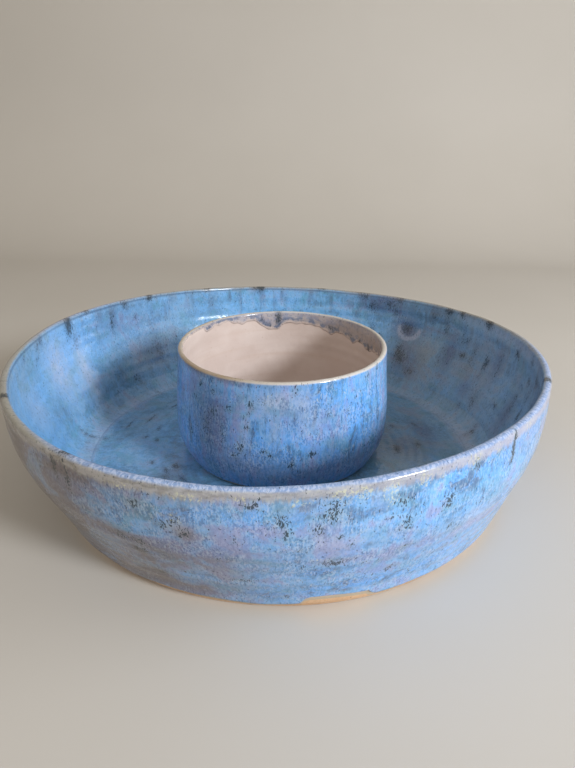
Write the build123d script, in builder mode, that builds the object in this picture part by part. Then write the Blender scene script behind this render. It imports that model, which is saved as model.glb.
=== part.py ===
"""Chip and dip server: a wide thrown stoneware bowl with a loose dip cup standing in its middle.

Both pots are round about +Z. The origin is the centre of the face that the bowl stands on, +Z is up and
every length is in millimetres. Each pot is a clay body under fired-on glaze. A glaze coat is the outer
skin of the pot's finished outline, so clay and glaze share their faces exactly.
"""

from build123d import *
import os

# Glaze
glaze_thickness = 0.5
bowl_glaze_line = 3.6  # height of bare clay left at the bowl's heel
cup_glaze_line = 1.9  # height of bare clay left at the cup's foot
cup_overlap_depth = 8.5  # how far the outside glaze runs down the inside of the cup

# Chip bowl, outside: a flared wall that turns upright at its knee
bowl_radius = 140.0
bowl_height = 73.0
bowl_lip_thickness = 3.6
bowl_lip_round = 1.6
bowl_knee_height = 48.2
bowl_knee_bend = 66.0
bowl_heel_radius = 123.5
bowl_heel_height = 3.6
bowl_heel_bevel = 3.2

# Chip bowl, inside and underneath
bowl_inner_knee_radius = 135.2
bowl_inner_knee_height = 49.0
bowl_inner_knee_bend = 60.0
bowl_floor_height = 8.5
bowl_floor_corner_radius = 117.4
bowl_floor_cove = 14.0
bowl_foot_inner_radius = 107.0
bowl_recess_depth = 1.8

# Dip cup, outside: a rounded heel, a gentle belly and a rim that draws in; heights above its own foot
cup_height = 63.1
cup_rim_radius = 58.7
cup_lip_thickness = 3.0
cup_lip_round = 1.3
cup_belly_radius = 60.6
cup_belly_height = 38.0
cup_belly_bend = 200.0
cup_heel_radius = 61.2
cup_heel_height = 12.0
cup_heel_bend = 34.0
cup_foot_radius = 53.9

# Dip cup, inside and underneath
cup_inner_radius = 56.2
cup_inner_height = 36.0
cup_inner_bend = 150.0
cup_floor_height = 6.6
cup_floor_corner_radius = 54.2
cup_floor_cove = 14.0
cup_foot_inner_radius = 46.0
cup_recess_depth = 1.2

# Upright section planes: the cup's has its origin on the bowl's floor, where the cup stands
bowl_section = Plane.XZ
cup_section = Plane(origin=(0, 0, bowl_floor_height), x_dir=(1, 0, 0), z_dir=(0, -1, 0))

# Bends of each outline, in order from the heel, over the lip, to the inner floor
bowl_bends = [bowl_knee_bend, bowl_lip_round, bowl_lip_round, bowl_inner_knee_bend, bowl_floor_cove]
cup_bends = [cup_heel_bend, cup_belly_bend, cup_lip_round, cup_lip_round, cup_inner_bend, cup_floor_cove]


def foot_recess(inner_radius, depth):
    """Underside from the axis to the inner edge of the foot ring: a shallow turned recess."""
    Polyline((0, depth), (inner_radius - depth, depth), (inner_radius, 0))


def clay_outline(finished, glaze_line, section):
    """Outline of a pot's clay: its finished section less the glaze, with the foot left bare."""
    with BuildSketch(section) as clay:
        add(finished.sketch_local)
        mirror(about=Plane.YZ)
        offset(amount=-glaze_thickness, mode=Mode.REPLACE)
        split(bisect_by=Plane.YZ)
        with BuildSketch(mode=Mode.PRIVATE) as foot:
            add(finished.sketch_local)
            Rectangle(bowl_radius, glaze_line, align=Align.MIN, mode=Mode.INTERSECT)
        add(foot.sketch_local)
    return clay


def glaze_outline(finished, clay, section):
    """Outline of a pot's whole glaze coat: what the clay leaves of the finished section."""
    with BuildSketch(section) as glaze:
        add(finished.sketch_local)
        add(clay.sketch_local, mode=Mode.SUBTRACT)
    return glaze


# Finished half sections

with BuildSketch(bowl_section) as bowl_finished:
    with BuildLine() as bowl_line:
        foot_recess(bowl_foot_inner_radius, bowl_recess_depth)
        Polyline(
            (bowl_foot_inner_radius, 0),
            (bowl_heel_radius - bowl_heel_bevel, 0),
            (bowl_heel_radius, bowl_heel_height),
        )
        FilletPolyline(
            (bowl_heel_radius, bowl_heel_height),
            (bowl_radius, bowl_knee_height),
            (bowl_radius, bowl_height),
            (bowl_radius - bowl_lip_thickness, bowl_height),
            (bowl_inner_knee_radius, bowl_inner_knee_height),
            (bowl_floor_corner_radius, bowl_floor_height),
            (0, bowl_floor_height),
            radius=bowl_bends,
        )
        Line((0, bowl_floor_height), (0, bowl_recess_depth))
    make_face()

with BuildSketch(cup_section) as cup_finished:
    with BuildLine() as cup_line:
        foot_recess(cup_foot_inner_radius, cup_recess_depth)
        Line((cup_foot_inner_radius, 0), (cup_foot_radius, 0))
        FilletPolyline(
            (cup_foot_radius, 0),
            (cup_heel_radius, cup_heel_height),
            (cup_belly_radius, cup_belly_height),
            (cup_rim_radius, cup_height),
            (cup_rim_radius - cup_lip_thickness, cup_height),
            (cup_inner_radius, cup_inner_height),
            (cup_floor_corner_radius, cup_floor_height),
            (0, cup_floor_height),
            radius=cup_bends,
        )
        Line((0, cup_floor_height), (0, cup_recess_depth))
    make_face()

bowl_clay = clay_outline(bowl_finished, bowl_glaze_line, bowl_section)
bowl_glaze = glaze_outline(bowl_finished, bowl_clay, bowl_section)
cup_clay = clay_outline(cup_finished, cup_glaze_line, cup_section)
cup_glaze = glaze_outline(cup_finished, cup_clay, cup_section)

# The cup's coat divides inside, where the outside glaze comes over the lip and overlaps the pale liner

liner_bottom = cup_floor_height - glaze_thickness
liner_top = cup_height - cup_overlap_depth
wall_middle_radius = cup_rim_radius - cup_lip_thickness / 2

with BuildSketch(cup_section) as cup_inner_glaze:
    add(cup_glaze.sketch_local)
    Polygon(
        (0, liner_bottom),
        (cup_floor_corner_radius, liner_bottom),
        (wall_middle_radius, cup_heel_height),
        (wall_middle_radius, liner_top),
        (0, liner_top),
        align=None,
        mode=Mode.INTERSECT,
    )

with BuildSketch(cup_section) as cup_outer_glaze:
    add(cup_glaze.sketch_local)
    add(cup_inner_glaze.sketch_local, mode=Mode.SUBTRACT)

# Solids

with BuildPart() as chip_bowl:
    revolve(bowl_clay.sketch, axis=Axis.Z)

with BuildPart() as chip_bowl_glaze:
    revolve(bowl_glaze.sketch, axis=Axis.Z)

with BuildPart() as dip_cup:
    revolve(cup_clay.sketch, axis=Axis.Z)

with BuildPart() as dip_cup_glaze:
    revolve(cup_outer_glaze.sketch, axis=Axis.Z)

with BuildPart() as dip_cup_liner_glaze:
    revolve(cup_inner_glaze.sketch, axis=Axis.Z)

# One STEP file for each piece

os.makedirs("parts", exist_ok=True)

chip_bowl.part.label = "chip_bowl"
export_step(chip_bowl.part, "parts/chip_bowl.step")

chip_bowl_glaze.part.label = "chip_bowl_glaze"
export_step(chip_bowl_glaze.part, "parts/chip_bowl_glaze.step")

dip_cup.part.label = "dip_cup"
export_step(dip_cup.part, "parts/dip_cup.step")

dip_cup_glaze.part.label = "dip_cup_glaze"
export_step(dip_cup_glaze.part, "parts/dip_cup_glaze.step")

dip_cup_liner_glaze.part.label = "dip_cup_liner_glaze"
export_step(dip_cup_liner_glaze.part, "parts/dip_cup_liner_glaze.step")
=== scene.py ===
"""Looks of the chip and dip server: two thrown stoneware pots under a streaked blue glaze.

Both pots are turned outlines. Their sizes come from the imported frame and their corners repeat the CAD
sections. Each outline is then warped, ringed and given a wavering glaze edge, as on pots thrown by hand.
Outlines are in millimetres. Angles are about +Z, with 0 towards +X and the front at -90 degrees.
"""

import math

import bpy
import numpy as np
from mathutils import Matrix, Vector


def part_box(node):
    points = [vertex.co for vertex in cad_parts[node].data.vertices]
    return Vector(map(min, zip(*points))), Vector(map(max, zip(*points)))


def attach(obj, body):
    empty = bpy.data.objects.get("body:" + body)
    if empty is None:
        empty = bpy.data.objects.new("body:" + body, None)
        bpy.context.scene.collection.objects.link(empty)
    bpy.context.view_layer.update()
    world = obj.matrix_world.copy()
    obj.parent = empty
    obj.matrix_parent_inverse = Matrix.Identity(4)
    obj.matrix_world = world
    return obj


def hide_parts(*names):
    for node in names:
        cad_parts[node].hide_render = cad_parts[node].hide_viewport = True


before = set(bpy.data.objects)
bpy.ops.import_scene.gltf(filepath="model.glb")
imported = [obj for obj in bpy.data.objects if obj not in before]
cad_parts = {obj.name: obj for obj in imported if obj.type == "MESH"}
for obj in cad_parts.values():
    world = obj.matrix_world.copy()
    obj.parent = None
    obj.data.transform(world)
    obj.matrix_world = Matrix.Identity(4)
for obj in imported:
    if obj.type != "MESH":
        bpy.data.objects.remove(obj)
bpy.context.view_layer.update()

MM = 0.001
SEGMENTS = 400

# Sizes taken from the frame, in millimetres
rim_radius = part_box("chip_bowl_glaze")[1].x / MM
bowl_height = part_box("chip_bowl_glaze")[1].z / MM
cup_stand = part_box("dip_cup")[0].z / MM
cup_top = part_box("dip_cup_glaze")[1].z / MM
cup_half_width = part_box("dip_cup_glaze")[1].x / MM

# Glaze coats
coat = 0.5
bite = 0.08  # how far a coat's hidden face sinks into the clay, so that no gap shows along its edge
edge_round = 1.1  # length over which a coat rises to its full thickness
edge_roll = 0.22  # how much thicker the glaze gathers just above its edge
roll_width = 2.2  # half width of that roll
settle = 9.0  # length over which a coat's rows forget the waver of its edge

# Chip bowl: the rim's mean height leaves room for its waver
rim_waver = 1.2
rim_height = bowl_height - rim_waver
bowl_lip = 3.6
bowl_corners = [
    (0, 1.8),
    (105.2, 1.8),
    (107, 0),
    (120.3, 0),
    (123.5, 3.6),
    (rim_radius, 48.2),
    (rim_radius, rim_height),
    (rim_radius - bowl_lip, rim_height),
    (135.2, 49),
    (117.4, cup_stand),
    (0, cup_stand),
]
bowl_bends = [1.5, 0.7, 0.9, 2.5, 66, 1.7, 1.6, 60, 14]
bowl_foot_corner = (120.3, 0)

# Dip cup
cup_lip = 3.0
cup_rim_radius = cup_half_width - 1.9
cup_corners = [
    (0, cup_stand + 1.2),
    (44.8, cup_stand + 1.2),
    (46, cup_stand),
    (53.9, cup_stand),
    (61.2, cup_stand + 12),
    (60.6, cup_stand + 38),
    (cup_rim_radius, cup_top),
    (cup_rim_radius - cup_lip, cup_top),
    (56.2, cup_stand + 36),
    (54.2, cup_stand + 6.6),
    (0, cup_stand + 6.6),
]
cup_bends = [1.2, 0.6, 0.8, 34, 200, 1.35, 1.35, 150, 14]
cup_foot_corner = (53.9, cup_stand)


# Outlines


def rounded(corners, bends, step=0.05):
    """A fine line of points along an outline whose inner corners are rounded to the given radii."""
    corners = [np.array(corner, float) for corner in corners]
    line = [corners[0]]
    for before, corner, after, bend in zip(corners, corners[1:], corners[2:], bends):
        back = (before - corner) / np.linalg.norm(before - corner)
        ahead = (after - corner) / np.linalg.norm(after - corner)
        half = math.acos(np.clip(back @ ahead, -1, 1)) / 2
        middle = (back + ahead) / np.linalg.norm(back + ahead)
        centre = corner + middle * bend / math.sin(half)
        arm = corner + back * bend / math.tan(half) - centre
        turn = math.pi - 2 * half
        side = 1 if back[0] * ahead[1] < back[1] * ahead[0] else -1
        for share in np.linspace(0, 1, max(4, int(turn * bend / step))):
            c, s = math.cos(side * turn * share), math.sin(side * turn * share)
            line.append(centre + (c * arm[0] - s * arm[1], s * arm[0] + c * arm[1]))
    line.append(corners[-1])
    return np.array(line)


class Profile:
    """An outline followed by its length: from the axis underneath, out, over the lip and in to the axis."""

    def __init__(self, corners, bends, foot_corner):
        self.line = rounded(corners, bends)
        steps = np.hypot(*np.diff(self.line, axis=0).T)
        self.line = self.line[np.append(True, steps > 1e-7)]
        self.length = np.append(0, np.cumsum(np.hypot(*np.diff(self.line, axis=0).T)))
        gaps = np.hypot(*(self.line - foot_corner).T)
        self.foot = self.length[np.argmin(gaps)]
        highest = self.line[:, 1] > self.line[:, 1].max() - 1e-3
        self.lip = self.length[highest].mean()
        self.end = self.length[-1]

    def point(self, s):
        return np.interp(s, self.length, self.line[:, 0]), np.interp(s, self.length, self.line[:, 1])

    def offset(self, s, out):
        """The point at length s, moved outwards across the surface."""
        reach = 0.25
        r0, z0 = self.point(np.clip(s - reach, 0, self.end))
        r1, z1 = self.point(np.clip(s + reach, 0, self.end))
        along = np.hypot(r1 - r0, z1 - z0)
        r, z = self.point(s)
        return r + out * (z1 - z0) / along, z - out * (r1 - r0) / along

    def past_lip(self, distance):
        """Length at a distance past the lip's crest; a negative one lies outside it."""
        return self.lip + distance

    def outside(self, height):
        """Length at a height on the outer wall."""
        part = (self.length > self.foot) & (self.length < self.lip)
        return np.interp(height, self.line[part, 1], self.length[part])

    def inside(self, height):
        """Length at a height on the inner wall."""
        part = (self.length > self.lip) & (self.line[:, 1] > self.line[-1, 1] + 0.01)
        return np.interp(height, self.line[part, 1][::-1], self.length[part][::-1])

    def floor(self, radius):
        """Length at a radius on the inner floor."""
        part = self.length > self.lip
        return np.interp(radius, self.line[part, 0][::-1], self.length[part][::-1])


bowl = Profile(bowl_corners, bowl_bends, bowl_foot_corner)
cup = Profile(cup_corners, cup_bends, cup_foot_corner)


# Surface shape


def smooth(value, low, high):
    share = np.clip((value - low) / (high - low), 0, 1)
    return share * share * (3 - 2 * share)


def bell(value, middle, half_width):
    return np.exp(-(((value - middle) / half_width) ** 2))


def turn_from(at, angle):
    """Degrees from the direction at, in degrees, to an angle in radians: from -180 to 180."""
    return (np.degrees(angle) - at + 180) % 360 - 180


def wave(angle, terms):
    """Sum of waves round the pot. A term is its turns, cosine size and sine size."""
    return sum(c * np.cos(n * angle) + s * np.sin(n * angle) for n, c, s in terms)


def ripples(seed, count, turns, lengths, size):
    """A smooth uneven height over angle and length, made of a few waves with random directions."""
    rng = np.random.default_rng(seed)
    parts = [
        (int(rng.integers(turns[0], turns[1] + 1)), rng.uniform(*lengths), rng.uniform(0, 2 * math.pi),
         rng.choice([-1, 1]))
        for _ in range(count)
    ]

    def height(angle, s):
        total = sum(
            np.cos(side * n * angle + 2 * math.pi * s / length + start) for n, length, start, side in parts
        )
        return size * total / math.sqrt(count)

    return height


def bumps(angle, places):
    """Bumps round the pot, each at an angle in degrees with a half width and a size."""
    total = 0
    for at, half_width, size in places:
        total = total + size * bell(turn_from(at, angle), 0, half_width)
    return total


# The bowl's rim rises, falls and bulges a little as it goes round; so does the cup's
bowl_rise = [(2, 1.66, -1.54)]
bowl_spread = [(2, -2.05, 3.16)]
cup_rise = [(1, 0.31, 0.38)]
cup_spread = [(2, -1.62, 0.38)]

outer_rings = ripples(3, 5, (0, 1), (6.0, 9.5), 0.07)
outer_swell = ripples(4, 7, (1, 6), (25, 90), 0.16)
inner_rings = ripples(5, 5, (0, 1), (6.5, 11), 0.10)
inner_swell = ripples(6, 7, (1, 6), (25, 90), 0.16)
glaze_swell = ripples(7, 14, (12, 60), (5, 22), 0.035)
cup_rings = ripples(8, 5, (0, 1), (5.0, 8.0), 0.05)
cup_swell = ripples(9, 7, (1, 5), (22, 70), 0.12)
lip_swell = ripples(10, 9, (3, 24), (400, 900), 0.12)
ridge_radius = 108.2  # of the low ridge round the bowl's inner floor
gutter_radius = 112.5  # of the shallow gutter just outside it


def bowl_relief(angle, s):
    """Height of the throwing marks over the bowl's even outline."""
    r, z = bowl.point(s)
    outer = (s < bowl.lip) * smooth(s, bowl.foot + 4, bowl.foot + 14) * smooth(bowl.lip - s, 1.5, 8)
    wall = (s > bowl.lip) * smooth(s - bowl.lip, 1.5, 8) * smooth(z, cup_stand + 1, cup_stand + 8)
    height = outer * (outer_rings(angle, s) + outer_swell(angle, s))
    height = height + wall * (inner_rings(angle, s) + inner_swell(angle, s))
    on_floor = (s > bowl.lip) * smooth(z, cup_stand + 3, cup_stand + 0.5)
    clear_of_cup = 1 - smooth(r, 38, 44) * smooth(r, 63, 58)
    spiral = np.cos(2 * math.pi * r / 5.2 + angle)
    height = height - on_floor * clear_of_cup * 0.10 * (1 - spiral) * smooth(r, 2, 8)
    ridge = 0.6 * bell(r, ridge_radius, 1.3)
    gutter = -0.35 * bell(r, gutter_radius, 2.2)
    return height + on_floor * ridge + (s > bowl.lip) * smooth(z, 16, 12) * gutter


def bowl_warp(angle, r, z):
    """Carries a point of the even bowl to the warped one."""
    share = np.clip((z - cup_stand) / (rim_height - cup_stand), 0, None)
    return r + share * wave(angle, bowl_spread), z + share * (wave(angle, bowl_rise) + lip_swell(angle, 0))


def cup_relief(angle, s):
    """Height of the throwing marks over the cup's even outline."""
    z = cup.point(s)[1]
    outer = (s < cup.lip) * smooth(s, cup.foot + 5, cup.foot + 14)
    inner = (s > cup.lip) * smooth(z, cup_stand + 6.6, cup_stand + 12)
    clear_of_lip = smooth(abs(s - cup.lip), 1.5, 7)
    return (outer + inner) * clear_of_lip * (cup_rings(angle, s) + cup_swell(angle, s))


def cup_warp(angle, r, z):
    """Carries a point of the even cup to the warped one."""
    start = cup_stand + 4
    share = np.clip((z - start) / (cup_top - start), 0, None)
    rise = wave(angle, cup_rise) + lip_swell(angle, 60) * 0.5
    return r + share * wave(angle, cup_spread), z + share * rise


# Meshes


def pace(start, stop, spacing):
    """Lengths from start to stop whose gaps follow spacing(s)."""
    fine = np.linspace(start, stop, 4000)
    weight = np.append(0, np.cumsum(abs(np.diff(fine)) / spacing((fine[1:] + fine[:-1]) / 2)))
    return np.interp(np.linspace(0, weight[-1], int(round(weight[-1])) + 1), weight, fine)


angles = np.arange(SEGMENTS) * 2 * math.pi / SEGMENTS


def turned(name, rings, wrap=False):
    """A closed mesh through rings of (s, r, z), in millimetres.

    A ring of no radius is one point on the axis; wrap joins the last ring to the first.
    Returns the object with the length and the angle of each of its vertices.
    """
    places, lengths, turns, rows, count = [], [], [], [], 0
    for s, r, z in rings:
        s, r, z = (np.broadcast_to(v, angles.shape) for v in (s, r, z))
        if r.max() < 1e-6:
            places.append([[0, 0, z.mean()]])
            lengths.append(s[:1])
            turns.append([0.0])
            rows.append(np.full(SEGMENTS, count))
            count += 1
        else:
            places.append(np.stack([r * np.cos(angles), r * np.sin(angles), z], axis=1))
            lengths.append(s)
            turns.append(angles)
            rows.append(np.arange(count, count + SEGMENTS))
            count += SEGMENTS
    faces = []
    pairs = list(zip(rows, rows[1:])) + ([(rows[-1], rows[0])] if wrap else [])
    for low, high in pairs:
        low_next, high_next = np.roll(low, -1), np.roll(high, -1)
        if low[0] == low[1] and high[0] == high[1]:
            continue
        if low[0] == low[1]:
            corners = (low, high_next, high)
        elif high[0] == high[1]:
            corners = (low, low_next, high)
        else:
            corners = (low, low_next, high_next, high)
        faces += np.stack(corners, axis=1).tolist()
    mesh = bpy.data.meshes.new(name)
    mesh.from_pydata((np.concatenate(places) * MM).tolist(), [], faces)
    mesh.polygons.foreach_set("use_smooth", [True] * len(mesh.polygons))
    mesh.update()
    made = bpy.data.objects.new(name, mesh)
    bpy.context.scene.collection.objects.link(made)
    return made, np.concatenate(lengths), np.concatenate(turns)


def store(made, name, *columns):
    """Stores a vector for each vertex, made of three columns of numbers."""
    layer = made.data.attributes.new(name, "FLOAT_VECTOR", "POINT")
    layer.data.foreach_set("vector", np.stack(columns, axis=1).astype(np.float32).ravel())


def clay_depth(profile, s):
    """How deep the clay lies under the finished outline: 0 on the bare foot, a coat's thickness above."""
    return coat * smooth(s - profile.foot, 0.5, 4)


def coat_rings(profile, relief, warp, spacing, edge):
    """Rings of a glaze coat that starts at the length edge(angle) and closes over the inner floor."""
    edge = edge(angles)
    first = edge.min()

    def settled(s):
        return s + (edge - first) * np.exp(-(s - first) / settle)

    out = []
    for s in pace(first, profile.end, spacing):
        s = settled(s)
        rise = np.clip((s - edge) / edge_round, 0, 1)
        thick = (coat + bite) * np.sqrt(1 - (1 - rise) ** 2) - bite
        thick = thick + edge_roll * rise * bell(s, edge + edge_round, roll_width)
        lift = thick - clay_depth(profile, s) + relief(angles, s) + glaze_swell(angles, s) * rise
        out.append((s, *warp(angles, *profile.offset(s, lift))))
    out[-1] = axis_ring(out[-1])
    hidden = []
    for s in pace(profile.end, first, hidden_spacing(profile)):
        s = settled(s)
        under = -clay_depth(profile, s) - bite + relief(angles, s)
        hidden.append((s, *warp(angles, *profile.offset(s, under))))
    hidden[0] = axis_ring(hidden[0])
    return out + hidden[:-1]


def axis_ring(ring):
    """The same ring drawn in to a point on the axis."""
    s, r, z = ring
    return s, 0 * r, z


def clay_rings(profile, relief, warp, spacing):
    """Rings of a pot's whole clay body, from the axis underneath to the axis above."""
    rings = []
    for s in pace(0, profile.end, spacing):
        r, z = profile.offset(s, -clay_depth(profile, s) + relief(angles, s) * (s > profile.foot))
        rings.append((s, *warp(angles, r, z)))
    rings[0] = axis_ring(rings[0])
    rings[-1] = axis_ring(rings[-1])
    return rings


# Glaze edge above the foot of each pot, as bare clay left along the heel
bare_swell = ripples(11, 8, (2, 30), (500, 900), 0.35)


def bowl_edge(angle):
    """Length at which the bowl's coat starts. In front, a stretch of the heel is bare for 5 mm more."""
    turn = np.degrees(angle) % 360
    patch = smooth(turn, 273.4, 275.0) * (5.4 - 1.6 * smooth(turn, 277, 287)) * smooth(turn, 287.6, 286.2)
    bare = 5.4 + 0.8 * smooth(turn, 272, 290) + bare_swell(angle, 0) + patch
    return bowl.foot + bare + bumps(angle, [(-60, 6, 0.6), (35, 14, 1.6), (120, 9, 1.2)])


def cup_edge(angle):
    return cup.foot + np.clip(1.9 + bare_swell(angle, 200) * 0.8, 0.9, 3.2)


# Spacing of the rows in millimetres: fine over the lips, coarse where another surface hides them


def bowl_spacing(s):
    r = bowl.point(s)[0]
    under_cup = (s > bowl.lip) * smooth(r, 58, 48)
    return 1.32 - 0.85 * bell(s, bowl.lip, 3.5) - 0.75 * bell(s, bowl.foot + 3, 3.5) + 1.9 * under_cup


def hidden_spacing(profile):
    return lambda s: 9 - 8.2 * bell(s, profile.lip, 5) - 7 * bell(s, profile.foot + 3, 5)


def bowl_clay_spacing(s):
    near_foot = smooth(s, 100, 108) * smooth(s, bowl.foot + 9, bowl.foot + 7)
    underside = smooth(s, 104, 100)
    return 6 - 5.4 * near_foot - 5 * bell(s, bowl.lip, 5) - 4.2 * underside


def cup_spacing(s):
    return 0.95 - 0.6 * bell(s, cup.lip, 3) - 0.5 * bell(s, cup.foot + 2, 3)


def cup_clay_spacing(s):
    near_foot = smooth(s, 40, 46) * smooth(s, cup.foot + 8, cup.foot + 6)
    return 3 - 2.3 * near_foot - 2.3 * bell(s, cup.lip, 4)


# Inside the cup the blue runs down over the pale liner, further on one side, with a few drips
overlap_drips = [(165, 4, 0.5), (146, 5, 2.6), (118, 7, 1.2), (104, 4, 2.2), (96, 6, 6.2), (57, 5, 2.8),
                 (39, 6, 3.0), (22, 7, 3.2), (-25, 5, 2.5), (-62, 7, 3.5), (-104, 5, 1.8), (-140, 6, 2.2)]
overlap_swell = ripples(12, 12, (9, 60), (500, 900), 0.6)


def cup_overlap(angle):
    lean = 7.0 + 4.6 * np.cos(angle - math.radians(10))
    return cup.lip + lean + bumps(angle, overlap_drips) + overlap_swell(angle, 0)


def cup_coat_rings():
    """Rings of the cup's blue coat: from its lower edge, over the lip, to its edge on the liner and back."""
    low, high = cup_edge(angles), cup_overlap(angles)
    first, last = low.min(), high.max()
    lap = 2.2  # where the coat leaves the clay and lies on the liner

    def settled(s):
        s = s + (low - first) * np.exp(-(s - first) / settle)
        return s + (high - last) * smooth(s, cup.lip + 1, last)

    def floor_of(s):
        on_liner = smooth(s - cup.lip, lap, lap + 1.6)
        return (-clay_depth(cup, s) - bite) * (1 - on_liner) - 0.1 * on_liner

    out, hidden = [], []
    for s in pace(first, last, cup_spacing):
        s = settled(s)
        rise = np.clip((s - low) / edge_round, 0, 1)
        fall = np.clip((high - s) / 2.4, 0, 1)
        top = coat - clay_depth(cup, s) + edge_roll * rise * bell(s, low + edge_round, roll_width)
        top = top + glaze_swell(angles, s) * rise + 0.3 * smooth(s - cup.lip, lap, lap + 3)
        under = floor_of(s)
        lift = under + (top - under) * np.sqrt(1 - (1 - rise) ** 2) * np.sqrt(1 - (1 - fall) ** 2)
        relief = cup_relief(angles, s)
        out.append((s, *cup_warp(angles, *cup.offset(s, lift + relief))))
    for s in pace(last, first, hidden_spacing(cup))[1:-1]:
        s = settled(s)
        hidden.append((s, *cup_warp(angles, *cup.offset(s, floor_of(s) + cup_relief(angles, s)))))
    return out + hidden


def liner_rings():
    """Rings of the cup's pale liner, from under the blue coat to the axis and back beneath."""
    start = cup.lip + 1.8
    out, hidden = [], []
    for s in pace(start, cup.end, lambda s: 1.1 + 0 * s):
        lift = -coat + (coat + 0 * angles) * smooth(s, start, start + 1.4) + cup_relief(angles, s)
        lift = lift + glaze_swell(angles, s + 90) * 0.6 * smooth(s, start + 2, start + 6)
        out.append((s, *cup_warp(angles, *cup.offset(s, lift))))
    out[-1] = axis_ring(out[-1])
    for s in pace(cup.end, start, lambda s: 5 + 0 * s):
        hidden.append((s, *cup_warp(angles, *cup.offset(s, -coat - bite + cup_relief(angles, s)))))
    hidden[0] = axis_ring(hidden[0])
    return out + hidden


# Marks in the glaze


def read(where, rows):
    """Marks from rows of angle, place, half width, half height and strength, where(place) being a length.

    The place is a height on a wall, a radius on a floor or a distance past the lip's crest.
    """
    return [(at, where(place), *rest) for at, place, *rest in rows]


def scattered(seed, count, turn, along, sizes, stretch):
    """Marks strewn at random over a stretch that faces away from the named ones."""
    rng = np.random.default_rng(seed)
    rows = []
    for _ in range(count):
        width = rng.uniform(*sizes)
        at, place = rng.uniform(*turn), rng.uniform(*along)
        rows.append((at, place, width, width * rng.uniform(*stretch), rng.uniform(0.6, 1.1)))
    return rows


def marks_of(profile, *lists):
    """A function of length and angle that adds up marks: soft spots as wide and high as they say."""
    marks = sum(lists, [])
    least_radius = 12  # so that a mark near the axis does not spread all round it

    def strength_at(s, angle):
        total = np.zeros(len(s))
        for at, along, half_width, half_height, strength in marks:
            radius = max(profile.point(along)[0], least_radius)
            wide = np.radians(turn_from(at, angle)) * radius / half_width
            high = (s - along) / half_height
            total += strength * np.exp(-(wide**2) - high**2)
        return total

    return strength_at


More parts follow.
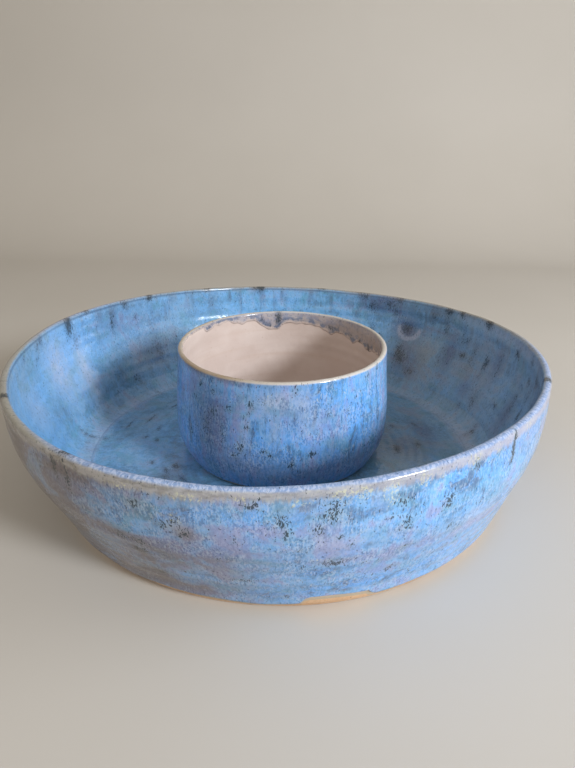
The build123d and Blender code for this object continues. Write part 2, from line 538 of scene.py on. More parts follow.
# How thickly dark flecks lie in the blue
bowl_speckle = marks_of(
    bowl,
    read(bowl.past_lip, [
        (-179, 4, 1.8, 3, 0.9), (-122, 1.2, 2.2, 2.6, 1.9), (168, 3, 3.4, 5, 1.4), (160, 0.6, 2.8, 2.6, 1.3),
        (51, 2.2, 3, 3.2, 1), (33, 3, 3, 2.6, 1.3), (28, 2.4, 2.4, 3, 1.2), (17, 2.4, 3.2, 3.8, 1.5),
        (-25.5, 1.6, 2.6, 5.5, 1.9), (-70, 1.2, 1.8, 1, 1.1), (-147, 0.8, 2.2, 4.5, 1.9),
        (100, 1.4, 2, 2, 1.1),
    ]),
    read(bowl.outside, [
        (-110, 61, 1.8, 1.8, 1.2), (-106, 53.7, 2.4, 2.2, 1.1), (-104, 56.6, 2, 1.6, 1.1),
        (-103, 51.6, 3.4, 2.4, 0.9), (-94, 65.9, 3.2, 1.9, 1.2), (-90, 59.3, 3.2, 4, 1.05),
        (-89, 53.5, 1.3, 2.6, 0.9), (-96, 50.4, 1.6, 3, 0.6), (-96, 23.8, 4.5, 1.5, 1),
        (-89, 10.8, 2, 1.4, 1.1), (-83, 62.3, 4.2, 5.2, 1.05), (-85, 54.4, 1.8, 2.6, 1.1),
        (-82, 50.2, 1.1, 1.2, 1.2), (-87, 45, 1.4, 1, 0.9), (-86, 34, 1.2, 1.2, 0.8),
        (-80, 46, 1.2, 1.2, 0.8), (-82, 35.9, 5.5, 3, 0.95), (-79, 17.3, 1, 1, 1.2),
        (-73, 61.2, 2.4, 1.8, 0.9), (-72, 50.9, 3.4, 5, 0.75), (-75, 55.3, 1.2, 1.2, 1.2),
        (-65, 55.6, 3.4, 3.6, 1.2), (-63, 41.7, 1.2, 2, 0.9), (-60, 66.6, 1.6, 2.8, 1.2),
        (-50.3, 64.5, 1.3, 8, 1.9), (-71, 38.4, 1.4, 1.2, 0.9), (-72, 24.6, 2.4, 2.6, 1),
        (-77, 33, 1.4, 1.6, 0.8), (-75, 22, 1.4, 1.8, 0.8), (-67, 17, 1.4, 1.2, 0.8),
        (-58, 48, 1.4, 1.6, 0.8), (-61, 27, 1.4, 1.8, 0.8), (-66, 39, 1.3, 1.2, 0.8),
        (-111, 18, 3.4, 1.8, 1.1), (-105, 24, 1.4, 1.4, 0.9), (-114, 42, 2.2, 3.4, 1.2),
        (-111, 41, 1.8, 3, 1.2), (-112, 34, 3.6, 2.6, 1.2), (-121, 31, 1.8, 1.8, 0.8),
        (-126.5, 66, 1, 4, 1.5), (-129, 64, 1, 4, 1.5), (-124, 66, 1.1, 5, 1.7), (-121.8, 62, 1.2, 6, 1.7),
        (-38, 60, 1, 8, 0.8), (-79, 66, 1.5, 2, 0.6), (-99, 38, 2, 1.6, 0.5), (-92, 31, 1.6, 1.4, 0.5),
        (-69, 46, 1.4, 2, 0.6),
    ]),
    read(bowl.inside, [
        (168, 64, 2.6, 4, 0.9), (166, 57, 2.2, 4.5, 0.6), (-177, 67, 1.8, 2.4, 0.9), (151, 60, 1.8, 7, 0.9),
        (-169, 67, 1.4, 1.8, 0.9), (-176, 61, 1.4, 2.6, 0.7), (142, 59, 1.8, 2.4, 0.8), (136, 33, 3, 9, 0.5),
        (148, 20, 3, 3, 0.6), (158, 16, 3, 2, 0.6), (-179, 11.6, 2, 1.6, 1.1), (129, 40, 2.4, 10, 0.4),
        (54, 66, 5, 3.4, 0.9), (47, 50, 4.6, 4.4, 1), (46, 29, 4.5, 5, 0.8), (41, 22, 4, 3.6, 0.7),
        (60, 62, 4, 4, 0.8), (38, 64, 2, 6, 0.6), (33, 58, 1.8, 7, 0.7), (26, 55, 1.8, 8, 0.5),
        (20, 48, 2.4, 9, 0.6), (14, 43, 2, 9, 0.6), (8, 50, 2, 10, 0.5), (1, 62.8, 2.2, 2.6, 1.2),
        (1, 31.2, 2.4, 1.6, 1.1), (16, 17, 1.8, 2.4, 0.9), (3, 12, 2.4, 2.4, 0.9), (-6, 40, 1.8, 9, 0.6),
        (-12, 50, 2, 9, 0.5), (-18, 34, 2, 9, 0.5), (-25, 62, 2.4, 6, 0.9), (32, 36, 2, 8, 0.4),
    ]),
    read(bowl.floor, [
        (171, 78, 2.6, 1.2, 1.1), (-178, 75, 3, 1.2, 1.1), (-179, 106, 2.4, 1.8, 0.9),
        (163, 89, 7, 0.9, 0.9), (148, 86, 6, 0.9, 0.9), (170, 98, 6, 1, 0.8), (-159, 77, 2.6, 1.4, 1),
        (-152, 66, 3, 2.4, 1.1), (-151, 72, 4, 1.4, 1), (-140, 68, 3.6, 1.6, 0.9), (-8, 69, 5, 2.6, 1.1),
        (-3, 82, 4, 1.6, 0.8), (144, 92, 5, 0.9, 0.8), (14, 88, 3, 1.4, 0.8), (-128, 88, 4, 2, 0.8),
        (-118, 72, 3, 2, 0.9),
    ]),
    scattered(21, 60, (-15, 225), (bowl.foot + 8, bowl.lip - 6), (1.6, 4), (0.6, 1.5)),
    scattered(22, 12, (60, 150), (bowl.lip - 1, bowl.lip + 4), (1.4, 2.8), (0.8, 1.6)),
    scattered(23, 30, (-150, 60), (bowl.lip + 5, bowl.lip + 60), (1.6, 3.4), (0.9, 2.2)),
    scattered(24, 26, (0, 360), (bowl.floor(104), bowl.floor(10)), (1.6, 3.6), (0.5, 1)),
)
cup_speckle = marks_of(
    cup,
    read(cup.outside, [
        (-131, 65, 1.5, 2.2, 1.2), (-123, 63, 1.4, 1.8, 0.9), (-104, 60, 1.5, 2.6, 1),
        (-123, 52, 2.6, 3, 0.9), (-115, 56, 1.6, 2.2, 0.8), (-107, 53, 1.5, 1.4, 0.7),
        (-105, 48, 1.8, 1.6, 1), (-109, 36, 3, 3.2, 0.95), (-112, 31, 2.2, 2, 0.8), (-98, 36, 2.2, 1.6, 1.1),
        (-95, 34, 1.6, 1.6, 0.9), (-76, 34, 2.6, 1.8, 1.1), (-69, 55, 2, 2.4, 0.9), (-58, 54, 1.6, 2.2, 0.6),
        (-54, 59, 1.2, 1.8, 0.8), (-84, 68, 1.1, 2.6, 0.7), (-45, 68, 1.6, 2.8, 0.8), (-36, 70, 1.3, 2.6, 1),
        (-86, 29, 1.8, 1.8, 0.9), (-73, 45, 1.8, 1.6, 0.7), (-139, 36, 2, 3, 0.9), (-128, 44, 2.4, 6, 0.7),
        (-118, 43, 2, 5, 0.6), (-135, 58, 1.6, 3, 0.6),
    ]),
    read(cup.past_lip, [
        (93, 5, 2.2, 5, 1.3), (99, 9, 1.8, 2.2, 0.5), (104, 5, 1.5, 1.6, 0.9), (146, 4, 1.4, 1.6, 0.6),
        (57, 8, 2.2, 1.6, 0.8), (32, 11, 1.6, 2, 0.9), (21, 13, 2, 3, 1), (15, 15, 1.6, 2.4, 0.8),
        (41, 10, 1.6, 1.6, 0.5),
    ]),
    scattered(25, 26, (-30, 215), (cup.foot + 6, cup.lip - 5), (1.2, 2.6), (0.8, 1.8)),
)

# Where the blue turns dull and tawny. On the bowl this is partly real and partly painted light, as marked
# below
bowl_tawny_and_painted_light = marks_of(
    bowl,
    read(bowl.past_lip, [(90, 0, 240, 3, 1.5), (-140, -5, 75, 4, 1.2)]),
    read(bowl.outside, [
        # The broad mark at -150 degrees is a painted warm reflection of a wooden table and painted shade on
        # the left wall
        (-150, 40, 84, 60, 1.4), (-113, 50, 12, 5, -0.5), (-106, 22, 9, 5, -0.5), (-118, 26, 30, 22, 0.8),
        (-100, 34, 18, 9, 0.35), (-103, 14, 26, 10, 0.5), (-103, 51, 5, 5, 0.5), (95, 30, 70, 18, 0.6),
        (30, 50, 30, 16, 0.35),
    ]),
    read(bowl.inside, [
        # The wide mark at 10 degrees is partly painted warm bounce light where the right of the inside lies
        # in shade
        (37, 32, 9, 7, 0.8), (40, 30, 26, 22, 0.5), (10, 40, 70, 44, 0.9), (145, 26, 30, 18, 0.5),
        (124, 52, 34, 20, 0.5),
    ]),
    # The mark at 0 degrees is partly painted warm bounce light on the shaded right of the floor
    read(bowl.floor, [(0, 80, 60, 24, 0.8), (-130, 86, 16, 10, 0.5), (165, 92, 46, 16, 0.6)]),
)
cup_tawny = marks_of(
    cup,
    read(cup.past_lip, [(-130, 0, 34, 3, 1.2), (150, 0, 50, 3, 0.7), (10, 8, 60, 7, 1)]),
    read(cup.outside, [(-128, 46, 7, 16, 0.4), (-132, 50, 14, 18, 0.3), (60, 40, 20, 16, 0.5)]),
)

# Where the blue is clear and bright; on the bowl's lit inner left wall this is partly painted light
bowl_bright_and_painted_light = marks_of(
    bowl,
    read(bowl.past_lip, [(-45, -5, 90, 5, 1)]),
    read(bowl.outside, [
        (-60, 60, 22, 5, 1.1), (-92, 62, 20, 3.5, 1.1), (-70, 56, 9, 3, 0.7), (-78, 18, 20, 4, 1.1),
        (-60, 20, 24, 5, 0.9), (-84, 30, 9, 3, 0.8), (-90, 13, 14, 4, 0.8), (-32, 50, 22, 14, 0.5),
        (-74, 44, 10, 3, 0.5), (-65, 46, 9, 3, 0.7), (-107, 58, 14, 4, 0.7), (140, 55, 30, 10, 0.6),
        (60, 25, 30, 12, 0.6),
    ]),
    read(bowl.inside, [
        # The marks at 172, -158 and -150 degrees are partly painted light on the lit inner left wall
        (172, 55, 34, 22, 1.2), (-158, 42, 34, 26, 1.3), (118, 58, 46, 14, 0.3), (23, 25, 8, 8, 0.55),
        (20, 60, 6, 8, 0.6), (0, 44, 6, 9, 0.5), (-13, 42, 6, 9, 0.5), (-150, 20, 30, 10, 0.8),
    ]),
    read(bowl.floor, [(-12, 92, 10, 6, 0.6)]),
)
cup_bright = marks_of(
    cup,
    read(cup.outside, [
        (-45, 52, 14, 18, 1), (-84, 36, 8, 8, 1), (-104, 36, 9, 12, 0.8), (-97, 46, 4, 10, 0.8),
        (-76, 64, 10, 6, 0.7), (-64, 64, 8, 6, 0.8), (-62, 34, 14, 6, 0.8), (-138, 36, 8, 15, 1.1),
        (120, 50, 20, 16, 0.6),
    ]),
)

# Yellow flecks just under the lip
bowl_yellow = marks_of(
    bowl,
    read(bowl.past_lip, [
        (-95, -5, 2, 1.8, 1), (-88, -6.4, 1.6, 1.4, 1), (-86, -6.4, 1.5, 1.4, 0.8), (-82, -4.4, 4, 2.4, 1),
        (-79, -5, 3, 3, 1), (-75, -6, 3, 3.4, 1), (-70, -5.5, 3, 3, 0.9), (-67, -9, 2, 3.4, 0.9),
        (-61, -4.6, 4, 3, 0.9), (-55, -5.5, 2.4, 3.6, 0.8), (-45, -3, 5, 2, 0.8), (-102, -5.4, 5, 1.8, 0.8),
        (-112, -5.4, 4, 2, 0.9), (-20, -4, 8, 2.6, 0.8), (70, -5, 40, 3, 0.6), (150, -5, 30, 3, 0.6),
    ]),
    read(bowl.outside, [(-104, 58, 2.6, 3, 0.6), (-85, 38.6, 1.2, 1.4, 1), (-75, 62, 2, 3, 0.6)]),
)
cup_yellow = marks_of(cup, read(cup.outside, [(at, 64, 2, 5, 0.5) for at in (-96, -74, -60)]))

# Purple washes and pale milky runs
bowl_purple_marks = marks_of(
    bowl,
    read(bowl.outside, [
        (-84, 58, 8, 10, 0.45), (-95, 40, 30, 9, 0.35), (-70, 34, 40, 12, 0.3), (-46, 66, 24, 8, 0.5),
        (100, 40, 40, 14, 0.4), (10, 30, 40, 12, 0.4),
    ]),
    read(bowl.inside, [
        (56, 66, 18, 8, 1.2), (47, 50, 10, 9, 1.3), (44, 28, 12, 12, 0.9), (150, 58, 42, 14, 0.55),
        (20, 46, 24, 14, 0.3), (29, 42, 5, 13, 1), (9, 50, 6, 11, 0.9), (-6, 32, 7, 11, 0.8),
        (17, 27, 6, 7, 0.8), (-19, 52, 6, 10, 0.8), (138, 34, 20, 14, 0.7),
    ]),
    read(bowl.floor, [(9, 90, 16, 7, 0.9), (-6, 74, 14, 14, 0.7), (-145, 70, 16, 9, 0.6)]),
)
cup_purple = marks_of(
    cup,
    read(cup.outside, [
        (-122, 48, 7, 13, 1.5), (-112, 30, 18, 8, 0.8), (-84, 54, 12, 10, 0.45), (-66, 44, 5, 16, 0.5),
        (-137, 62, 4, 6, 0.6), (-70, 22, 50, 7, 0.7), (90, 50, 20, 12, 0.5), (20, 40, 12, 16, 0.5),
    ]),
)
bowl_pale_marks = marks_of(
    bowl,
    read(bowl.past_lip, [(0, 4.5, 90, 3.5, 0.7)]),
    read(bowl.outside, [
        (-104, 55, 3, 5, 0.7), (-88, 64, 8, 3, 0.3), (-82, 48, 14, 5, 0.4), (-76, 66, 5, 6, 0.5),
        (-100, 30, 10, 4, 0.4), (-56, 40, 16, 6, 0.5),
    ]),
    read(bowl.inside, [
        (176, 48, 12, 18, 1), (166, 38, 6, 20, 0.9), (-166, 42, 12, 12, 0.5), (5, 40, 64, 44, 0.35),
    ]),
)
cup_pale = marks_of(
    cup,
    read(cup.outside, [
        (-100, 60, 8, 6, 0.6), (-90, 64, 9, 5, 0.7), (-107, 44, 3, 9, 0.7), (-93, 48, 3, 8, 0.5),
        (-80, 60, 5, 8, 0.5), (-76, 50, 5, 8, 0.4),
    ]),
)


def bowl_purple(s, angle):
    """The purple washes, with a line in the gutter round the floor."""
    r, z = bowl.point(s)
    gutter = (s > bowl.lip) * bell(r, 111.8, 1.6) * smooth(z, 16, 12)
    return 0.6 * gutter + bowl_purple_marks(s, angle)


def bowl_pale(s, angle):
    """The pale runs, with a ring-shaped swirl on the inner wall and a painted highlight on the ridge round
    the floor.
    """
    swirl_turn, swirl_height, swirl_radius, wall_radius = 46, 51, 8.5, 134
    across = np.radians(turn_from(swirl_turn, angle)) * wall_radius
    up = bowl.inside(swirl_height) - s
    swirl = bell(np.hypot(across, up), swirl_radius, 1.3) * smooth(up, 3, -4)
    # Painted highlight: a pale ring along the ridge round the floor
    ridge = (s > bowl.lip) * bell(bowl.point(s)[0], ridge_radius, 0.8)
    return swirl * 2.0 + ridge * 0.8 + bowl_pale_marks(s, angle)


def store_flow(made, profile, s, angle, wall_radius, floor_radius):
    """Stores where each vertex lies along the glaze's flow: round the wall, down it and on over the floor."""
    r = profile.point(s)[0]
    on_floor = (s > profile.lip) & (r < floor_radius)
    reach = np.where(on_floor, wall_radius * r / floor_radius, wall_radius)
    fall = np.minimum(s, profile.floor(floor_radius)) - profile.lip
    store(made, "flow", reach * np.cos(angle), reach * np.sin(angle), fall)


# Pieces. On each vertex "flow" is its place in the glaze's flow. "place" is its length past the lip, past the
# glaze's lower edge and up to its inner edge; on clay, past the foot, past the glaze's edge and its radius

far = 1000  # the bowl's coat closes over the floor, so its end is taken as far away

bowl_clay, s, angle = turned("bowl_clay", clay_rings(bowl, bowl_relief, bowl_warp, bowl_clay_spacing))
store(bowl_clay, "place", s - bowl.foot, s - bowl_edge(angle), bowl.point(s)[0])

bowl_rings = coat_rings(bowl, bowl_relief, bowl_warp, bowl_spacing, bowl_edge)
bowl_coat, s, angle = turned("bowl_glaze", bowl_rings, wrap=True)
store_flow(bowl_coat, bowl, s, angle, wall_radius=130, floor_radius=111)
store(bowl_coat, "place", s - bowl.lip, s - bowl_edge(angle), far - s)
store(bowl_coat, "marks", bowl_speckle(s, angle), bowl_tawny_and_painted_light(s, angle), bowl_bright_and_painted_light(s, angle))
store(bowl_coat, "washes", bowl_yellow(s, angle), bowl_purple(s, angle), bowl_pale(s, angle))

cup_clay, s, angle = turned("cup_clay", clay_rings(cup, cup_relief, cup_warp, cup_clay_spacing))
store(cup_clay, "place", s - cup.foot, s - cup_edge(angle), cup.point(s)[0])

cup_coat, s, angle = turned("cup_blue_glaze", cup_coat_rings(), wrap=True)
store_flow(cup_coat, cup, s, angle, wall_radius=60, floor_radius=40)
store(cup_coat, "place", s - cup.lip, s - cup_edge(angle), cup_overlap(angle) - s)
store(cup_coat, "marks", cup_speckle(s, angle), cup_tawny(s, angle), cup_bright(s, angle))
store(cup_coat, "washes", cup_yellow(s, angle), cup_purple(s, angle), cup_pale(s, angle))

cup_liner, s, angle = turned("cup_cream_glaze", liner_rings(), wrap=True)
store_flow(cup_liner, cup, s, angle, wall_radius=56, floor_radius=50)


# Materials


def colour(red, green, blue):
    """A colour given as it looks on screen, 0 to 255, as the linear value that a shader takes."""
    parts = np.array([red, green, blue]) / 255
    linear = np.where(parts <= 0.04045, parts / 12.92, ((parts + 0.055) / 1.055) ** 2.4)
    return (*linear.tolist(), 1.0)


class Shader:
    """A node material built by short calls. A value may be a socket of another node or a constant."""

    def __init__(self, name):
        self.material = bpy.data.materials.new(name)
        self.material.use_nodes = True
        self.tree = self.material.node_tree
        self.surface = self.tree.nodes["Principled BSDF"]

    def feed(self, socket, value):
        if isinstance(value, bpy.types.NodeSocket):
            self.tree.links.new(value, socket)
        else:
            socket.default_value = value

    def node(self, kind, inputs, **settings):
        made = self.tree.nodes.new(kind)
        for key, value in settings.items():
            setattr(made, key, value)
        for key, value in inputs.items():
            self.feed(made.inputs[key], value)
        return made

    def attribute(self, name):
        return self.node("ShaderNodeAttribute", {}, attribute_name=name).outputs["Vector"]

    def parts(self, vector):
        return self.node("ShaderNodeSeparateXYZ", {"Vector": vector}).outputs

    def math(self, operation, a, b=0.0, c=0.0, clamp=False):
        return self.node(
            "ShaderNodeMath", {0: a, 1: b, 2: c}, operation=operation, use_clamp=clamp
        ).outputs["Value"]

    def times(self, a, b):
        return self.math("MULTIPLY", a, b)

    def scaled(self, a, b, c, clamp=False):
        """a times b, plus c."""
        return self.math("MULTIPLY_ADD", a, b, c, clamp)

    def capped(self, value, top=1.0):
        return self.math("MINIMUM", value, top)

    def noise(self, vector, size, detail=2.0, roughness=0.5, distortion=0.0, shift=0.0):
        """Noise whose features measure size, in millimetres, along each axis of the vector."""
        scale = tuple(1 / part for part in size)
        place = self.node(
            "ShaderNodeVectorMath", {0: vector, 1: scale, 2: (shift, shift, shift)}, operation="MULTIPLY_ADD"
        )
        inputs = {
            "Vector": place.outputs["Vector"], "Scale": 1.0, "Detail": detail,
            "Roughness": roughness, "Distortion": distortion,
        }
        return self.node("ShaderNodeTexNoise", inputs).outputs["Fac"]

    def step(self, value, low, high):
        """0 below low, 1 above high, smooth between; falling where high is under low."""
        rising = high > low
        inputs = {
            "Value": value, "From Min": min(low, high), "From Max": max(low, high),
            "To Min": 0.0 if rising else 1.0, "To Max": 1.0 if rising else 0.0,
        }
        return self.node("ShaderNodeMapRange", inputs, interpolation_type="SMOOTHSTEP").outputs["Result"]

    def mix(self, share, a, b):
        """Colour a turned into colour b by a share."""
        made = self.tree.nodes.new("ShaderNodeMix")
        made.data_type = "RGBA"
        for place, value in ((0, share), (6, a), (7, b)):
            self.feed(made.inputs[place], value)
        return made.outputs[2]

    def tint(self, body, share, strength, shade):
        """The body with a colour laid over it, by share times strength."""
        return self.mix(self.times(share, strength), body, colour(*shade))

    def ramp(self, value, stops):
        made = self.node("ShaderNodeValToRGB", {"Fac": value})
        elements = made.color_ramp.elements
        while len(elements) < len(stops):
            elements.new(1.0)
        for element, (position, shade) in zip(elements, stops):
            element.position = position
            element.color = shade
        return made.outputs["Color"]

    def bump(self, height, distance, strength=1.0, below=None):
        inputs = {"Height": height, "Distance": distance * MM, "Strength": strength}
        if below is not None:
            inputs["Normal"] = below
        return self.node("ShaderNodeBump", inputs).outputs["Normal"]

    def finish(self, body, grain, smoothest, roughest, normal):
        """The finished material, whose roughness follows its grain."""
        inputs = {"Value": grain, "To Min": smoothest, "To Max": roughest}
        self.feed(self.surface.inputs["Base Color"], body)
        self.feed(self.surface.inputs["Roughness"], self.node("ShaderNodeMapRange", inputs).outputs["Result"])
        self.feed(self.surface.inputs["Normal"], normal)
        return self.material


BLUES = [
    (0.00, colour(78, 112, 152)),
    (0.20, colour(92, 140, 188)),
    (0.38, colour(108, 166, 222)),
    (0.54, colour(128, 176, 226)),
    (0.68, colour(134, 164, 215)),
    (0.84, colour(138, 157, 208)),
    (1.00, colour(144, 157, 206)),
]


def blue_glaze(name, streak_share, band_share, run, break_lip):
    """Glossy rutile blue: washes, streaks and bands of sky blue and lavender, dark flecks and a broken lip.

    run is how far the washes have run down the wall, over how wide they are.
    """
    sh = Shader(name)
    flow = sh.attribute("flow")
    past_lip, past_edge, _ = sh.parts(sh.attribute("place"))
    speckle, tawny, bright = sh.parts(sh.attribute("marks"))
    yellow, purple, pale = sh.parts(sh.attribute("washes"))

    patch = sh.noise(flow, (20, 20, 20 * run), 3, 0.6, 0.8)
    streak = sh.noise(flow, (3.4, 3.4, 20), 3, 0.6, 0.3, 7)
    band = sh.noise(flow, (60, 60, 8.0), 1, 0.6, 0.5, 19)
    mottle = sh.noise(flow, (2.4, 2.4, 4.4), 3, 0.65, 0.4, 27)
    pool = sh.noise(flow, (7.5, 7.5, 7.5 * run), 4, 0.62, 1.0, 35)
    calm = sh.scaled(sh.step(past_lip, 6.0, 34.0), -0.7, 1.0)
    streak = sh.scaled(sh.math("SUBTRACT", streak, 0.5), calm, 0.5)
    fibre = sh.noise(flow, (0.8, 0.8, 3.6), 2, 0.6, 0.6, 31)
    grain = sh.noise(flow, (0.75, 0.75, 1.5), 2, 0.65, 0.5, 43)
    outer = sh.step(past_lip, 3.0, -1.0)
    inner = sh.math("SUBTRACT", 1.0, outer)
    full = sh.capped(bright)

    # Body colour: broad washes, pools of sky blue, purple and pale veils, then a fine curdled grain
    blend = sh.scaled(streak, streak_share, sh.times(band, band_share))
    blend = sh.scaled(mottle, 0.20, blend)
    blend = sh.scaled(patch, 0.80 - streak_share - band_share, blend)
    blend = sh.scaled(bright, -0.07, blend)
    blend = sh.scaled(tawny, 0.05, blend)
    blend = sh.scaled(inner, -0.045, blend)
    body = sh.ramp(sh.scaled(blend, 4.8, -1.85, clamp=True), BLUES)
    teal = sh.step(sh.noise(flow, (14, 14, 11), 2, 0.5, 0.5, 57), 0.53, 0.68)
    # The pools' sky blue grows with the bright marks: partly painted light on the lit inner left wall
    sky = sh.scaled(full, 0.44, 0.32)
    pooled = sh.step(sh.scaled(full, 0.07, pool), 0.49, 0.57)
    body = sh.tint(body, pooled, sky, (98, 170, 248))
    body = sh.tint(body, inner, 0.40, (120, 162, 184))
    # Painted light: brighter sky blue on the bright marks inside, where the inner left wall is lit
    body = sh.tint(body, sh.times(full, inner), 0.75, (114, 188, 255))
    body = sh.tint(body, teal, sh.scaled(inner, 0.05, 0.42), (90, 150, 174))
    seep = sh.step(sh.noise(flow, (5.5, 5.5, 26), 1, 0.55, 0.5, 131), 0.48, 0.70)
    seep = sh.times(seep, sh.math("SUBTRACT", inner, full, clamp=True))
    seep = sh.times(seep, calm)
    body = sh.tint(body, seep, 0.50, (90, 102, 122))
    # Painted light over the tawny marks: outside a painted warm reflection and painted shade, inside painted
    # bounce light in the shade; partly real tawny glaze
    tawny_and_painted_light_patches = sh.scaled(sh.step(patch, 0.36, 0.60), 0.55, 0.35)
    tawny_and_painted_light_patches = sh.scaled(outer, 0.22, tawny_and_painted_light_patches, clamp=True)
    tawny_and_painted_light_share = sh.times(sh.capped(tawny), tawny_and_painted_light_patches)
    tawny_and_painted_light_colour = sh.mix(outer, colour(140, 150, 148), colour(117, 104, 97))
    body = sh.mix(sh.times(tawny_and_painted_light_share, 0.75), body, tawny_and_painted_light_colour)
    cloudy = sh.scaled(mottle, 1.1, 0.1)
    plum = sh.mix(outer, colour(82, 88, 122), colour(112, 120, 156))
    body = sh.mix(sh.times(sh.capped(purple), cloudy), body, plum)
    body = sh.tint(body, sh.capped(pale), cloudy, (178, 186, 208))
    curdle = sh.step(sh.noise(flow, (13, 13, 8), 2, 0.5, 0.6, 61), 0.40, 0.62)
    curdle = sh.times(sh.scaled(curdle, 0.65, 0.35), sh.scaled(outer, 0.62, 0.38))
    combed = sh.times(curdle, outer)
    body = sh.tint(body, sh.step(fibre, 0.53, 0.66), sh.times(combed, 0.36), (186, 196, 220))
    body = sh.tint(body, sh.step(fibre, 0.46, 0.34), sh.times(combed, 0.46), (80, 110, 150))
    body = sh.tint(body, sh.step(grain, 0.52, 0.62), sh.times(curdle, 0.50), (174, 192, 218))
    body = sh.tint(body, sh.step(grain, 0.47, 0.37), sh.times(curdle, 0.54), (74, 102, 148))
    # Darker brown over the same marks outside: painted shade and reflection, partly real tawny glaze
    body = sh.tint(body, tawny_and_painted_light_share, sh.times(outer, 0.6), (92, 80, 71))
    body = break_lip(sh, body, flow, past_lip, grain, tawny, bright)

    # Dark flecks: crowds of short fine strokes in a paler green-grey haze, washed out to smudges inside
    stroke = sh.noise(flow, (0.6, 0.6, 1.35), 1, 0.6, 0.9, 71)
    crowd = sh.capped(speckle, 1.6)
    haze = sh.mix(outer, colour(66, 80, 100), colour(136, 158, 168))
    # Browner haze over the tawny marks, which are partly painted reflection
    haze = sh.mix(sh.capped(tawny), haze, colour(112, 98, 82))
    body = sh.mix(sh.times(crowd, sh.scaled(outer, -0.08, 0.46)), body, haze)
    level = sh.scaled(crowd, 0.235, stroke)
    sharp = sh.times(sh.step(level, 0.665, 0.735), sh.scaled(outer, 0.58, 0.30))
    soft = sh.times(sh.step(level, 0.56, 0.80), sh.times(inner, 0.50))
    body = sh.mix(sh.math("ADD", sharp, soft), body, colour(38, 52, 62))

    # Yellow flecks where the glaze starts to thicken under the lip
    spot = sh.noise(flow, (0.75, 0.75, 1.3), 2, 0.6, 0.6, 97)
    spot = sh.step(sh.scaled(sh.capped(yellow, 1.2), 0.14, spot), 0.62, 0.69)
    spot = sh.times(spot, sh.step(yellow, 0.05, 0.4))
    body = sh.tint(body, spot, 0.44, (208, 208, 168))

    # Thin at the lower edge
    low = sh.step(past_edge, 1.4, 0.2)
    body = sh.tint(body, low, 0.5, (128, 130, 130))

    normal = sh.bump(sh.noise(flow, (3.2, 3.2, 5.0), 2, 0.5, 0.0, 113), 0.11)
    normal = sh.bump(grain, 0.02, below=normal)
    return sh.finish(body, grain, 0.08, 0.20, normal)


def bowl_lip(sh, body, flow, past_lip, grain, tawny, bright):
    """The bowl's lip: lilac or tan on the crest, then a tan band whose lower edge frays into the blue, and a
    painted shadow line just inside the crest.
    """
    fringe = sh.noise(flow, (1.2, 1.2, 7), 3, 0.65, 0.3, 83)
    sway = sh.noise(flow, (22, 22, 50), 2, 0.5, 0.0, 89)
    cloud = sh.noise(flow, (6, 6, 2.5), 3, 0.6, 0.4, 91)
    down = sh.times(past_lip, -1.0)
    worn = sh.scaled(fringe, -6.0, sh.scaled(sway, -5.0, down))
    band = sh.times(sh.step(worn, 1.4, -1.6), sh.step(past_lip, 0.6, -0.4))
    tan = sh.mix(sh.step(cloud, 0.38, 0.62), colour(134, 130, 124), colour(162, 160, 160))
    tan = sh.tint(tan, sh.capped(bright), 0.8, (164, 168, 196))
    tan = sh.tint(tan, sh.step(grain, 0.5, 0.66), 0.3, (178, 178, 160))
    body = sh.mix(sh.times(band, 0.88), body, tan)
    top = sh.step(sh.scaled(cloud, 2.0, down), 3.4, 2.0)
    crest = sh.times(top, sh.step(sh.scaled(tawny, -0.4, past_lip), 1.3, 0.3))
    lilac = sh.mix(sh.step(grain, 0.44, 0.58), colour(124, 152, 200), colour(168, 186, 222))
    lilac = sh.tint(lilac, sh.step(tawny, 0.7, 1.4), 0.85, (148, 142, 122))
    body = sh.mix(sh.times(crest, 0.9), body, lilac)
    pale = sh.capped(sh.parts(sh.attribute("washes"))[2])
    # Painted shadow: a thin dark line just inside the crest, fainter where pale runs lie
    painted_shadow_line = sh.times(sh.step(past_lip, 1.9, 2.5), sh.step(past_lip, 4.0, 2.9))
    painted_shadow_line = sh.times(painted_shadow_line, sh.scaled(pale, -1.3, 1.0, clamp=True))
    return sh.tint(body, painted_shadow_line, 0.5, (58, 80, 112))


def cup_lip(sh, body, flow, past_lip, grain, tawny, bright):
    """The cup's lip: a narrow ring of tan or cream, and a grey lilac band inside."""
    cloud = sh.noise(flow, (5, 5, 3), 3, 0.6, 0.3, 91)
    to_end = sh.parts(sh.attribute("place"))[2]
    inside = sh.mix(sh.step(cloud, 0.36, 0.60), colour(140, 140, 162), colour(172, 162, 164))
    inside = sh.tint(inside, sh.capped(tawny), 0.7, (160, 142, 130))
    blots = sh.times(sh.step(cloud, 0.56, 0.44), sh.step(to_end, 6.0, 3.0))
    inside = sh.tint(inside, blots, 0.75, (92, 100, 122))
    body = sh.mix(sh.times(sh.step(past_lip, 0.8, 1.6), 0.85), body, inside)
    thin = sh.step(sh.scaled(cloud, -4.0, to_end), 0.6, -1.0)
    body = sh.tint(body, thin, 0.92, (194, 180, 176))
    ring = sh.times(sh.step(past_lip, -2.3, -1.3), sh.step(past_lip, 1.6, 0.9))
    rim = sh.mix(sh.capped(tawny), colour(204, 199, 192), colour(164, 146, 124))
    rim = sh.tint(rim, sh.step(grain, 0.5, 0.7), 0.3, (150, 150, 158))
    return sh.mix(sh.times(ring, 0.9), body, rim)


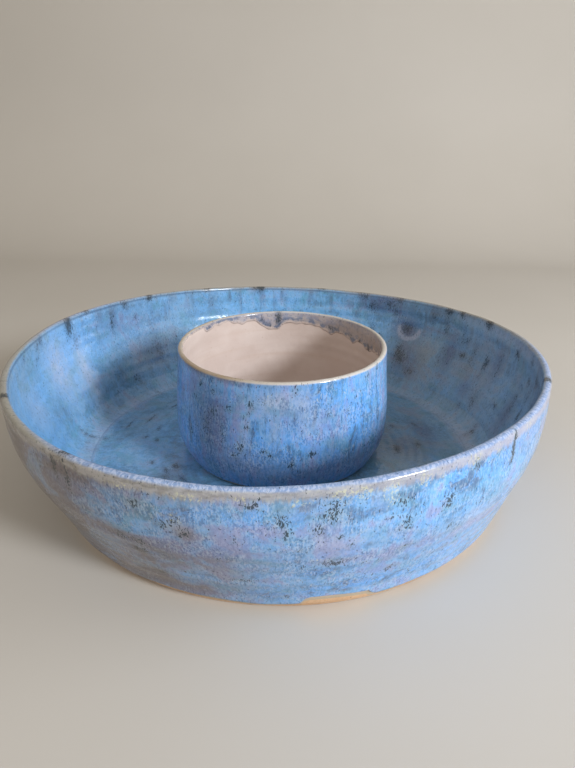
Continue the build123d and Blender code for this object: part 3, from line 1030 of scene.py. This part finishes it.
def cream_glaze():
    """Warm white gloss, a little pinker where it pools, with pinholes and faint throwing rings."""
    sh = Shader("cream_glaze")
    flow = sh.attribute("flow")
    cloud = sh.noise(flow, (26, 26, 16), 3, 0.5, 0.2)
    grain = sh.noise(flow, (1.2, 1.2, 1.8), 2, 0.6, 0.0, 11)
    rings = sh.noise(flow, (90, 90, 3.0), 2, 0.5, 0.0, 23)
    body = sh.mix(sh.step(cloud, 0.35, 0.65), colour(193, 178, 173), colour(201, 188, 184))
    body = sh.tint(body, sh.step(rings, 0.52, 0.68), 0.25, (190, 170, 158))
    body = sh.tint(body, sh.step(grain, 0.60, 0.75), 0.25, (182, 162, 150))
    pinholes = sh.step(sh.noise(flow, (0.7, 0.7, 0.9), 1, 0.5, 0.0, 37), 0.755, 0.79)
    body = sh.tint(body, pinholes, 0.7, (150, 120, 96))
    normal = sh.bump(sh.noise(flow, (3.5, 3.5, 4.5), 2, 0.5, 0.0, 41), 0.12)
    normal = sh.bump(pinholes, -0.06, below=normal)
    return sh.finish(body, grain, 0.10, 0.22, normal)


def bare_clay():
    """Unglazed stoneware: warm tan with darker grog, iron specks and turning lines."""
    sh = Shader("stoneware_clay")
    past_foot, past_edge, radius = sh.parts(sh.attribute("place"))
    metres = sh.node("ShaderNodeTexCoord", {}).outputs["Object"]
    scale = (1 / MM, 1 / MM, 1 / MM)
    place = sh.node("ShaderNodeVectorMath", {0: metres, 1: scale}, operation="MULTIPLY").outputs["Vector"]
    cloud = sh.noise(place, (22, 22, 22), 3, 0.55)
    grog = sh.noise(place, (0.9, 0.9, 0.9), 3, 0.65, 0.0, 9)
    iron = sh.step(sh.noise(place, (1.3, 1.3, 1.3), 1, 0.5, 0.0, 17), 0.73, 0.77)
    body = sh.mix(sh.step(cloud, 0.35, 0.65), colour(196, 158, 122), colour(214, 180, 146))
    body = sh.tint(body, sh.step(grog, 0.50, 0.68), 0.35, (164, 124, 90))
    body = sh.tint(body, sh.step(grog, 0.46, 0.30), 0.35, (230, 204, 176))
    body = sh.tint(body, iron, 0.8, (74, 50, 36))
    turning = sh.node("ShaderNodeCombineXYZ", {"X": radius, "Y": 0.0, "Z": past_foot}).outputs["Vector"]
    lines = sh.noise(turning, (0.8, 1, 0.8), 2, 0.6)
    body = sh.tint(body, sh.step(lines, 0.55, 0.70), 0.22, (176, 136, 100))
    furrows = sh.noise(turning, (3.2, 1, 3.2), 2, 0.5, 0.0, 29)
    body = sh.tint(body, sh.step(furrows, 0.50, 0.64), 0.40, (168, 130, 98))
    wash = sh.scaled(cloud, 3.0, past_edge)
    body = sh.tint(body, sh.step(wash, -2.2, -1.2), 0.75, (170, 164, 150))
    normal = sh.bump(furrows, 0.30)
    normal = sh.bump(lines, 0.12, below=normal)
    normal = sh.bump(grog, 0.10, below=normal)
    return sh.finish(body, grog, 0.72, 0.92, normal)


def finish_piece(piece, material, body, slot, *nodes):
    """Gives a piece its material and the CAD body it rides on, and hides the CAD nodes it stands for. The
    slot is not used.
    """
    piece.data.materials.append(material)
    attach(piece, body)
    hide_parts(*nodes)


clay = bare_clay()
bowl_blue = blue_glaze("bowl_blue_glaze", 0.14, 0.18, 0.95, bowl_lip)
cup_blue = blue_glaze("cup_blue_glaze", 0.42, 0.02, 2.2, cup_lip)
finish_piece(bowl_clay, clay, "bowl", "stoneware_clay", "chip_bowl")
finish_piece(bowl_coat, bowl_blue, "bowl", "blue_glaze", "chip_bowl_glaze")
finish_piece(cup_clay, clay, "cup", "stoneware_clay", "dip_cup")
finish_piece(cup_coat, cup_blue, "cup", "blue_glaze", "dip_cup_glaze")
finish_piece(cup_liner, cream_glaze(), "cup", "cream_glaze", "dip_cup_liner_glaze")


# Floor, light and camera


def stage_floor():
    """A plain pale floor that sweeps up into a plain wall behind."""
    half_width, front, back, bend, top, steps = 4.0, -4.0, 0.62, 0.30, 3.0, 16
    line = [(front, 0.0)]
    for step in range(steps + 1):
        turn = math.pi / 2 * step / steps
        line.append((back + bend * math.sin(turn), bend * (1 - math.cos(turn))))
    line.append((back + bend, top))
    points = [(side * half_width, y, z) for y, z in line for side in (-1, 1)]
    faces = [(2 * i, 2 * i + 1, 2 * i + 3, 2 * i + 2) for i in range(len(line) - 1)]
    mesh = bpy.data.meshes.new("floor")
    mesh.from_pydata(points, [], faces)
    mesh.polygons.foreach_set("use_smooth", [True] * len(mesh.polygons))
    made = bpy.data.objects.new("floor", mesh)
    bpy.context.scene.collection.objects.link(made)
    sh = Shader("floor")
    place = sh.node("ShaderNodeTexCoord", {}).outputs["Object"]
    cloud = sh.noise(place, (0.25, 0.25, 0.25), 3, 0.5)
    body = sh.mix(cloud, colour(184, 180, 175), colour(192, 188, 184))
    sh.feed(sh.surface.inputs["Base Color"], body)
    sh.surface.inputs["Roughness"].default_value = 0.6
    mesh.materials.append(sh.material)


def area_light(name, place, target, size, power, tint, mirrored=True):
    """A soft rectangular lamp at a place, aimed at a target, in metres. Reflections may leave it out."""
    light = bpy.data.lights.new(name, "AREA")
    light.shape = "RECTANGLE"
    light.size, light.size_y = size
    light.energy = power
    light.color = tint
    made = bpy.data.objects.new(name, light)
    made.location = place
    made.rotation_euler = (Vector(target) - Vector(place)).to_track_quat("-Z", "Y").to_euler()
    made.visible_glossy = mirrored
    bpy.context.scene.collection.objects.link(made)


def camera():
    """A hand-held phone just in front of and above the bowl, tilted down and a touch to one side."""
    stand_off, height = 0.2765, 0.1638
    turn, tilt, roll = math.radians(0.617), math.radians(23.246), math.radians(0.964)
    ahead = Vector((math.sin(turn) * math.cos(tilt), math.cos(turn) * math.cos(tilt), -math.sin(tilt)))
    right = Vector((math.cos(turn), -math.sin(turn), 0))
    up = right.cross(ahead)
    right, up = right * math.cos(roll) + up * math.sin(roll), up * math.cos(roll) - right * math.sin(roll)
    data = bpy.data.cameras.new("camera")
    data.lens = 24.375
    data.sensor_width = 36
    data.clip_start = 0.01
    made = bpy.data.objects.new("camera", data)
    axes = Matrix((right, up, -ahead)).transposed().to_4x4()
    made.matrix_world = Matrix.Translation((0, -stand_off, height)) @ axes
    bpy.context.scene.collection.objects.link(made)
    bpy.context.scene.camera = made


stage_floor()
camera()
key_turn, key_lift, key_distance = math.radians(-42), math.radians(26), 1.3
key_level = math.cos(key_lift)
key_place = Vector((math.cos(key_turn) * key_level, math.sin(key_turn) * key_level, math.sin(key_lift)))
area_light("key", key_place * key_distance, (0, 0, 0.04), (0.24, 0.22), 15.4, (0.96, 0.985, 1.0))
area_light("side", (1.15, -0.1, 0.5), (0, 0, 0.04), (0.5, 0.4), 4.0, (0.94, 0.98, 1.0), mirrored=False)
area_light("fill", (-0.5, -0.9, 0.9), (0, 0, 0.04), (0.9, 0.9), 2.0, (1.0, 0.97, 0.93))

world = bpy.data.worlds.new("world")
world.use_nodes = True
world.node_tree.nodes["Background"].inputs["Color"].default_value = (1.0, 0.90, 0.74, 1.0)
world.node_tree.nodes["Background"].inputs["Strength"].default_value = 0.54
bpy.context.scene.world = world
bpy.context.scene.view_settings.view_transform = "Standard"
